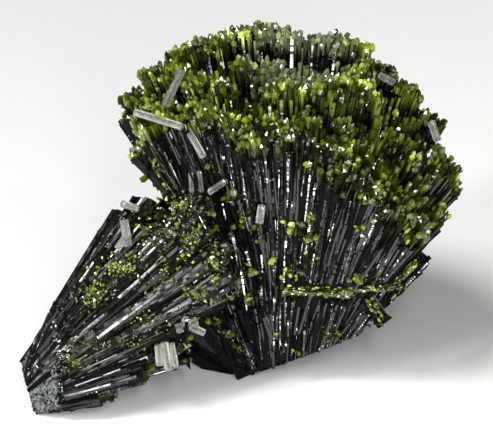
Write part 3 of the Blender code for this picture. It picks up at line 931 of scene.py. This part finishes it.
def grains_on_butt(tree, rng):
    """Sugary grains on the broken butt of the side fan."""
    found = []
    for _ in range(GRAIN_TRIES):
        aim = BUTT_POINT + scatter(GRAIN_SPAN, rng)
        normal = rng.choice((BUTT_FACE_NORMAL, BUTT_FACE_NORMAL, BUTT_BACK_NORMAL)).normalized()
        spot, facing, _, _ = tree.ray_cast(aim + normal * 20.0, -normal)
        if spot is None or facing.dot(normal) < 0.95:
            continue
        size = rng.uniform(*GRAIN_SIZE)
        way = (normal + scatter(0.5, rng)).normalized()
        found += lump(spot + way * size * 0.2, way, size, size, 3.0, rng.choice(GRAIN_GREENS), rng)
    return found


def blade(start, end, thickness, green, rng):
    """A stray crystal as a bundle of thin ones, with small lumps along its upper side."""
    axis = (end - start).normalized()
    side = axis.orthogonal().normalized()
    other = axis.cross(side)
    found = []
    for number in range(BLADE_CRYSTALS):
        turn = number * math.tau / (BLADE_CRYSTALS - 1)
        aside = (side * math.cos(turn) + other * math.sin(turn)) * (thickness * BLADE_RING if number else 0.0)
        first = start + aside + axis * rng.uniform(-0.6, 0.6)
        last = end + aside + axis * rng.uniform(-1.2, 0.6)
        width = thickness * rng.uniform(*BLADE_WIDTH)
        found += needle(first, last, width, NEEDLE_FLAT, LATH_FORMS, green, rng, proud=LATH_PROUD)
    for _ in range(int((end - start).length * BLADE_LUMPS)):
        head = start.lerp(end, rng.random()) + Vector((0.0, rng.uniform(-0.5, 0.5), 0.55)) * thickness
        wide, tall = rng.uniform(0.3, 0.7), rng.uniform(0.6, 1.1)
        found += lump(head, axis, wide, tall, 1.0, rng.uniform(0.92, 0.985), rng)
    return found


def tree_of(meshes):
    """The surfaces of these meshes in the leaning frame, for finding what lies near them."""
    bm = bmesh.new()
    for mesh in meshes:
        bm.from_mesh(mesh)
    bmesh.ops.remove_doubles(bm, verts=bm.verts, dist=MERGED)
    bm.transform(FROM_PART)
    bmesh.ops.triangulate(bm, faces=bm.faces)
    found = BVHTree.FromBMesh(bm)
    bm.free()
    return found


def clumping(tip):
    """How thickly lumps grow at a tip: in clumps, thinned towards the right as painted shade, none in the
    hollows.
    """
    hollow = any(math.hypot((tip.x - x) / w, (tip.y - y) / h) < 1.0 for x, y, w, h in HOLLOWS)
    if hollow and tip.z > HOLLOW_FRONT:
        return -1.0
    fine, broad = noise.noise(tip * CLUMP_FINE), noise.noise(tip * CLUMP_BROAD)
    return fine + CLUMP_BROAD_SHARE * broad - max(0.0, tip.x - THIN_FROM) * THINNER


rng = random.Random(SEED)
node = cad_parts["epidote_cluster"]
solid_tree = tree_of([node.data])
kept_meshes = [item.data for name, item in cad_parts.items() if name.startswith("quartz")]
kept_free = tree_of(kept_meshes)
kept_in_view = kept_free
strays = []
for start, end, thickness, green in BLADES:
    strays += blade(Vector(start), Vector(end), thickness, green, rng)
    guide = LATH_FORMS[0].copy()
    wide = thickness * BLADE_GUIDE
    guide.transform(place_of(Vector(start), Vector(end), wide, wide, 0.0))
    kept_meshes.append(guide)
kept_in_view = tree_of(kept_meshes)
for guide in kept_meshes[-len(BLADES):]:
    bpy.data.meshes.remove(guide)

# Clean needle faces: glassy and near-black, so that the eye sees them as hard broken glints.
epidote = epidote_material("epidote_needle_glassy", NEEDLE_SHINE)
# The freshest faces, along the main fan's open sides: as dark, with the brightest glints of all.
mirror = epidote_material("epidote_needle_mirror", MIRROR_SHINE)
# Etched faces: as dark again, but with next to no glint, so that they part the bright ones.
dull = epidote_material("epidote_needle_dull", DULL_SHINE)
# Knobs of small clean faces at the tips: short enough to look green, with a bright spot on each.
knobby = epidote_material("epidote_lump_glassy", LUMP_SHINE)
# Needles lying tight side by side, deep between the outer ones: epidote's own near-black, made a touch darker
# and with hardly a sheen, as painted shade in the deep gaps.
packed_and_painted_shade = grainy_material("epidote_packed_painted_shade", "#030403", "#0c0f09", 1100.0, 0.05)
# Laths broken across at the side fan's end: grey, rough and sugary.
broken = grainy_material("epidote_broken_sugary", "#0d0f0e", "#676d69", 1300.0, 0.3)
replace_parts(dark_body(node, packed_and_painted_shade, broken), "epidote_cluster")
surface = merged_body(node)
bmesh.ops.triangulate(surface, faces=surface.faces)

needles, front_lumps, back_lumps = [], [], []
for root, tip, edge in fan_tips(MAIN_APEX, MAIN_SHEAVES, MAIN_SPREAD, main_root, rng):
    angle = math.degrees(math.atan2(tip.x, tip.y))
    off = next((by for first, last, by in CROWN_OFF if first < angle < last), 0.0)
    tip += (tip - root).normalized() * off
    clump = clumping(tip)
    if clump < BARE:
        tip -= (tip - root).normalized() * rng.uniform(*BARE_LOWER)
    start = root if edge and rng.random() < EDGE_WHOLE else root.lerp(tip, rng.uniform(*CROWN_START))
    under = tip - (tip - root).normalized() * UNDER_LUMP
    width = rng.uniform(*NEEDLE_WIDTH) * CROWN_BROADER
    grown = needle(start, under, width, NEEDLE_FLAT, NEEDLE_FORMS, CROWN_GREEN, rng, proud=CROWN_PROUD)
    needles += grown
    if clump < BARE:
        beside = scatter(BARE_BESIDE, rng)
        width = rng.uniform(*NEEDLE_WIDTH) * BARE_BROADER
        needles += needle(start + beside, tip + beside, width, NEEDLE_FLAT, NEEDLE_FORMS, BARE_GREEN, rng)
    depth = LUMPED_LEAST + LUMPED_MORE * clump + (rng.uniform(0.0, LUMPED_EDGE) if edge else 0.0)
    lumps = lumps_along(root, tip, depth, rng) if grown and clump > BARE else []
    if tip.z > FRONT_FROM:
        front_lumps += lumps
    else:
        back_lumps += lumps
for root, first, last, count, lumped in LOW_FANS:
    places = count * LOW_PLACES
    for step in range(places):
        tip = Vector(first).lerp(Vector(last), step / (places - 1))
        for _ in range(LOW_NEEDLES):
            end = tip + Vector([rng.uniform(-0.5, 0.5) * LOW_WIDTH for _ in range(3)])
            width = rng.uniform(*NEEDLE_WIDTH) * LOW_BROADER
            grown = needle(
                Vector(root), end, width, NEEDLE_FLAT, NEEDLE_FORMS, LOW_GREEN, rng, proud=LATH_PROUD
            )
            needles += grown
            if grown and rng.random() < lumped:
                front_lumps += lumps_along(Vector(root), end, rng.uniform(0.0, LOW_LUMPED), rng)
laths = []
for root, tip, edge in fan_tips(SIDE_APEX, SIDE_SHEAVES, SIDE_SPREAD, side_root, rng):
    start = root if edge else root.lerp(tip, LATH_START)
    width = rng.uniform(*LATH_WIDTH)
    laths += needle(start, tip, width, LATH_FLAT, LATH_FORMS, LATH_GREEN, rng, LATH_TURN, LATH_PROUD)
    if rng.random() < LATH_LUMPED_SHARE:
        laths += lumps_along(root, tip, rng.uniform(0.0, LATH_LUMPED), rng)
moss = scattered(solid_tree, CLUMPS, CLUMP_LIFT, CLUMP_GREEN, rng)
moss += scattered(solid_tree, MOSS * 2, 0.0, LUMP_GREEN, rng)
moss += grains_on_butt(solid_tree, rng)
open_needles, open_laths = open_side_needles(surface, solid_tree, rng)
open_needles += bright_crystals(solid_tree, (), BRIGHT_NEEDLES, MAIN_APEX, BRIGHT_NEEDLE_WIDTH, rng)
open_laths += bright_crystals(solid_tree, BROAD_LATHS, BRIGHT_LATHS, SIDE_APEX, BRIGHT_LATH_WIDTH, rng)
surface.free()

grow_piece("epidote_needles", needles, epidote, dull)
grow_piece("epidote_lumps_front", front_lumps, knobby, dull)
grow_piece("epidote_lumps_back", back_lumps, knobby, dull)
grow_piece("epidote_side_laths", laths, epidote, dull)
grow_piece("epidote_open_needles", open_needles, mirror, dull)
grow_piece("epidote_open_laths", open_laths, epidote, dull)
grow_piece("epidote_scattered_lumps", moss, knobby, dull)
grow_piece("epidote_strays", strays, knobby, dull)

quartz = quartz_material()
for name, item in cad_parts.items():
    if name.startswith("quartz"):
        item.data.materials.clear()
        item.data.materials.append(quartz)

# Matt white ground: even and without a sheen, so that the eye sees only the shadow on it.
made, tree, shader = new_material("floor_matt_white")
shader.inputs["Base Color"].default_value = linear("#f4f4f2")
shader.inputs["Roughness"].default_value = 0.9
bm = bmesh.new()
bmesh.ops.create_grid(bm, x_segments=1, y_segments=1, size=6.0)
mesh = bpy.data.meshes.new("floor")
bm.to_mesh(mesh)
bm.free()
floor = bpy.data.objects.new("floor", mesh)
bpy.context.scene.collection.objects.link(floor)
mesh.materials.append(made)


def add_light(name, kind, place, energy, wide, high=0.0):
    data = bpy.data.lights.new(name, kind)
    data.energy = energy
    if kind == "SUN":
        data.angle = wide
    else:
        data.shape = "RECTANGLE"
        data.size = wide
        data.size_y = high
    light = bpy.data.objects.new(name, data)
    light.location = place
    light.rotation_euler = (Vector((0.0, 0.0, 0.03)) - Vector(place)).to_track_quat("-Z", "Y").to_euler()
    bpy.context.scene.collection.objects.link(light)


# A hazy sun from the upper left, and three tall strips whose reflections are the long glints.
add_light("sky_soft", "SUN", (-0.24, -0.24, 0.5), 2.7, math.radians(22.0))
add_light("strip_near", "AREA", (0.04, -0.45, 0.17), 1.9, 0.03, 0.28)
add_light("strip_left", "AREA", (-0.33, -0.36, 0.17), 2.1, 0.03, 0.3)
add_light("strip_right", "AREA", (0.36, -0.32, 0.17), 0.5, 0.02, 0.3)
world = bpy.context.scene.world or bpy.data.worlds.new("studio")
bpy.context.scene.world = world
world.use_nodes = True
world.node_tree.nodes["Background"].inputs["Color"].default_value = (1.0, 1.0, 1.0, 1.0)
world.node_tree.nodes["Background"].inputs["Strength"].default_value = 0.04
bpy.context.scene.view_settings.view_transform = "Standard"

# The camera looks square onto the leaning frame's picture plane, from the front and 20 degrees up.
PIXELS_ACROSS = 493
MM_PER_PIXEL = 0.17
PICTURE_WIDTH = PIXELS_ACROSS * MM_PER_PIXEL
PICTURE_MIDDLE = Vector((-7.06, 29.24, 10.0))
LENS = 180.0
SENSOR = 36.0
camera_data = bpy.data.cameras.new("camera")
camera_data.lens = LENS
camera_data.sensor_width = SENSOR
camera_data.clip_start, camera_data.clip_end = 0.01, 20.0
camera = bpy.data.objects.new("camera", camera_data)
bpy.context.scene.collection.objects.link(camera)
distance = PICTURE_WIDTH * LENS / SENSOR
camera.location = TO_PART @ (PICTURE_MIDDLE + Vector((0.0, 0.0, distance)))
camera.rotation_euler = (math.radians(90.0 - LEAN), 0.0, 0.0)
bpy.context.scene.camera = camera
